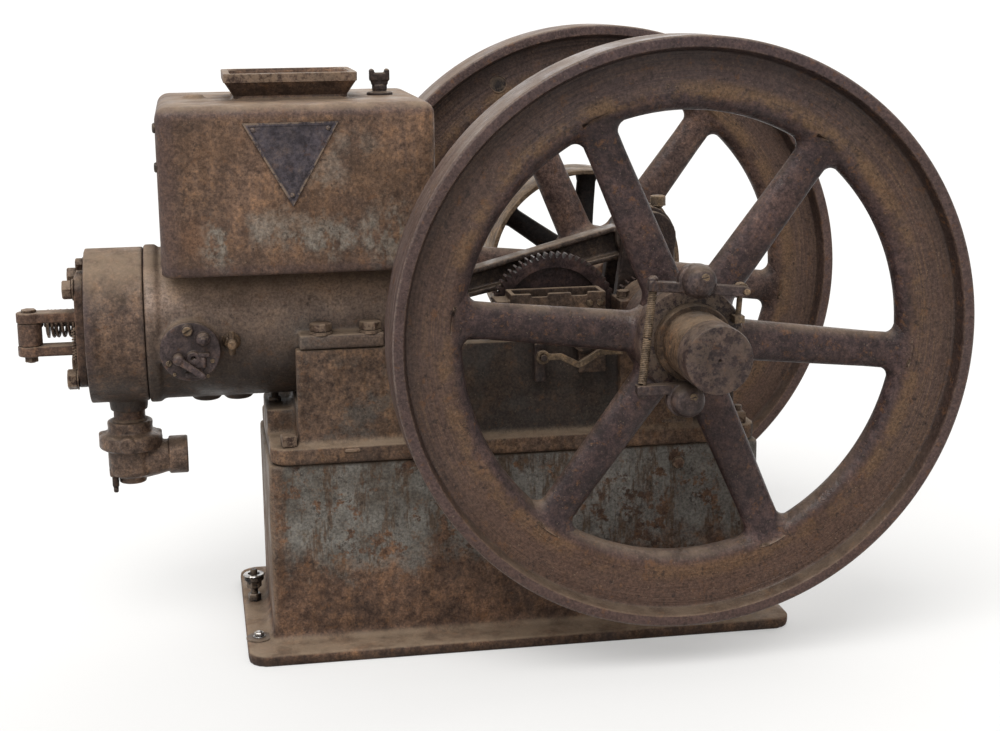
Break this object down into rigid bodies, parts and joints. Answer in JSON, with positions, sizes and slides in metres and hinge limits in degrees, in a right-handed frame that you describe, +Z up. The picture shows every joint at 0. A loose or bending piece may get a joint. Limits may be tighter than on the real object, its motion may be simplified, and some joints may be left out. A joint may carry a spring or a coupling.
{
  "type": "stationary gas engine",
  "caption": "Hopper-cooled horizontal stationary engine with one cylinder, open crank, two spoked flywheels and a side pulley, on a cast sub-base",
  "frame": {"origin": "the middle of the four foundation bolt holes, on the ground", "axes": "+X along the engine from the cylinder head to the crank, +Y from the governor flywheel to the pulley, +Z up"},
  "size_m": [1.3144, 0.903, 0.8774],
  "materials": {
    "rusty_iron": "rusted, rough",
    "worn_paint_on_iron": "rusted with remnants of grey paint",
    "dull_steel": "dull, oily rust",
    "brown_brass": "tarnished brown"
  },
  "bodies": {
    "engine_frame": {"sub_base": "worn_paint_on_iron", "engine_bed": "worn_paint_on_iron", "cylinder_hopper": "worn_paint_on_iron", "cylinder_head": "rusty_iron", "valve_plate": "rusty_iron", "rocker_pin": "dull_steel", "valve_spring": "dull_steel", "mixer_pipe": "rusty_iron", "fuel_mixer": "brown_brass", "igniter_plate": "rusty_iron", "priming_cock": "brown_brass", "badge_plate": "brown_brass", "hopper_fitting": "brown_brass", "cylinder_prop": "dull_steel", "bearing_cap_near": "rusty_iron", "bearing_cap_far": "rusty_iron", "cam_stud": "dull_steel", "piston": "rusty_iron", "wrist_pin": "dull_steel", "connecting_rod": "dull_steel", "rod_cap": "dull_steel", "crank_pin": "dull_steel", "grease_cup": "brown_brass", "magneto_bracket": "worn_paint_on_iron", "latch_fork": "dull_steel"},
    "crank_assembly": {"crankshaft_near": "dull_steel", "crankshaft_far": "dull_steel", "crank_pinion": "rusty_iron", "flywheel_near": "rusty_iron", "flywheel_far": "rusty_iron", "belt_pulley": "rusty_iron", "hub_barrel": "rusty_iron", "governor_post_upper": "dull_steel", "governor_post_lower": "dull_steel", "governor_spring": "dull_steel"},
    "cam_gear_body": {"cam_gear": "rusty_iron"},
    "rocker_body": {"rocker_arm": "rusty_iron"},
    "valve_body": {"exhaust_valve": "dull_steel"},
    "governor_upper_body": {"governor_weight_upper": "rusty_iron"},
    "governor_lower_body": {"governor_weight_lower": "rusty_iron"},
    "latch_body": {"latch_lever": "dull_steel"},
    "trip_body": {"igniter_trip": "dull_steel"},
    "needle_body": {"mixer_needle": "brown_brass"}
  },
  "joints": [
    {"name": "crankshaft_spin", "type": "hinge", "parent": "engine_frame", "child": "crank_assembly", "pos_m": [0.204, 0, 0.471], "axis": [0, 1, 0], "continuous": true},
    {"name": "cam_gear_spin", "type": "hinge", "parent": "engine_frame", "child": "cam_gear_body", "pos_m": [0.0647, -0.074, 0.464], "axis": [0, 1, 0], "continuous": true},
    {"name": "rocker_swing", "type": "hinge", "parent": "engine_frame", "child": "rocker_body", "pos_m": [-0.686, -0.042, 0.466], "axis": [0, 0, -1], "range_deg": [0, 5.5], "stiffness_Nm_per_rad": 12, "springref_deg": -11.46},
    {"name": "valve_slide", "type": "slide", "parent": "engine_frame", "child": "valve_body", "axis": [1, 0, 0], "range_m": [0, 0.00675], "deforming": ["valve_spring"]},
    {"name": "governor_upper_swing", "type": "hinge", "parent": "crank_assembly", "child": "governor_upper_body", "pos_m": [0.268, -0.355, 0.542], "axis": [0, 1, 0], "range_deg": [0, 7], "stiffness_Nm_per_rad": 4, "springref_deg": -11.46, "deforming": ["governor_spring"]},
    {"name": "governor_lower_swing", "type": "hinge", "parent": "crank_assembly", "child": "governor_lower_body", "pos_m": [0.254, -0.355, 0.414], "axis": [0, -1, 0], "range_deg": [0, 7], "stiffness_Nm_per_rad": 4, "springref_deg": -11.46},
    {"name": "latch_lever_swing", "type": "hinge", "parent": "engine_frame", "child": "latch_body", "pos_m": [0.031, -0.168, 0.424], "axis": [0, -1, 0], "range_deg": [0, 12]},
    {"name": "igniter_trip_swing", "type": "hinge", "parent": "engine_frame", "child": "trip_body", "pos_m": [-0.48, -0.138, 0.4385], "axis": [0, 1, 0], "range_deg": [0, 20]},
    {"name": "mixer_needle_turn", "type": "hinge", "parent": "engine_frame", "child": "needle_body", "pos_m": [-0.581, -0.008, 0.228], "axis": [0, 0, 1], "range_deg": [0, 360]}
  ],
  "couplings": [
    {"joint": "cam_gear_spin", "follows": "crankshaft_spin", "ratio": -0.5},
    {"joint": "valve_slide", "follows": "rocker_swing", "m_per_rad": 0.07},
    {"joint": "governor_lower_swing", "follows": "governor_upper_swing", "ratio": 1}
  ]
}
